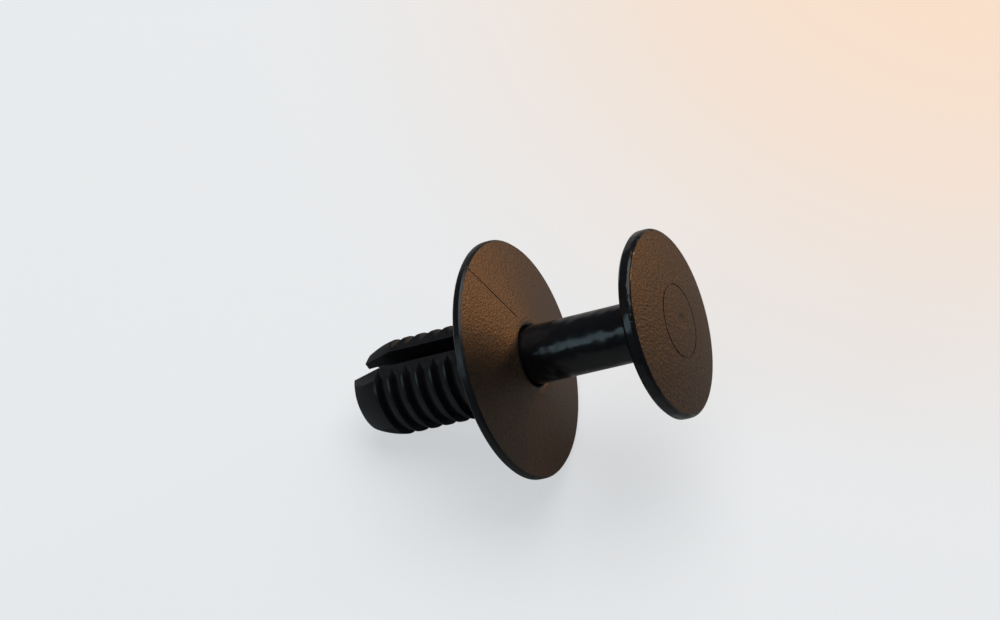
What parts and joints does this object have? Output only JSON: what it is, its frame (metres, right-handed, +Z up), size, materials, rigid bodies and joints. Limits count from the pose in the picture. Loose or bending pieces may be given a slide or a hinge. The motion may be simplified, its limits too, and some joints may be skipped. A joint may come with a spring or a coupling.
{
  "type": "expanding rivet",
  "caption": "Plastic push rivet: a wide-flanged sleeve with a ribbed, split shank, and a sliding pin whose push head drives it home to spread the legs.",
  "frame": {"origin": "on the surface that the rivet lies on, under the middle of its bounding box", "axes": "+Z up; +X the way the push head points, so the rivet's axis lies in the XZ plane and rises 28.3 degrees towards the head; +Y across the rivet, towards the shorter leg. The rivet lies on its flange rim and the ends of its two legs, rolled 10 degrees about its own axis so that both legs touch"},
  "size_m": [0.0296, 0.02, 0.0222],
  "materials": {
    "sleeve_plastic": "black moulded nylon, spark-eroded grain on the front of the flange, smooth satin on the ribbed legs and the rim",
    "pin_plastic": "black moulded nylon, glossy stem and edges, spark-eroded grain on the face of the head"
  },
  "bodies": {
    "sleeve": {"sleeve": "sleeve_plastic"},
    "pin": {"pin": "pin_plastic"}
  },
  "joints": [
    {"name": "pin_slide", "type": "slide", "parent": "sleeve", "child": "pin", "axis": [-0.8802, 0, -0.4746], "range_m": [0, 0.01145], "deforming": ["sleeve"]}
  ]
}
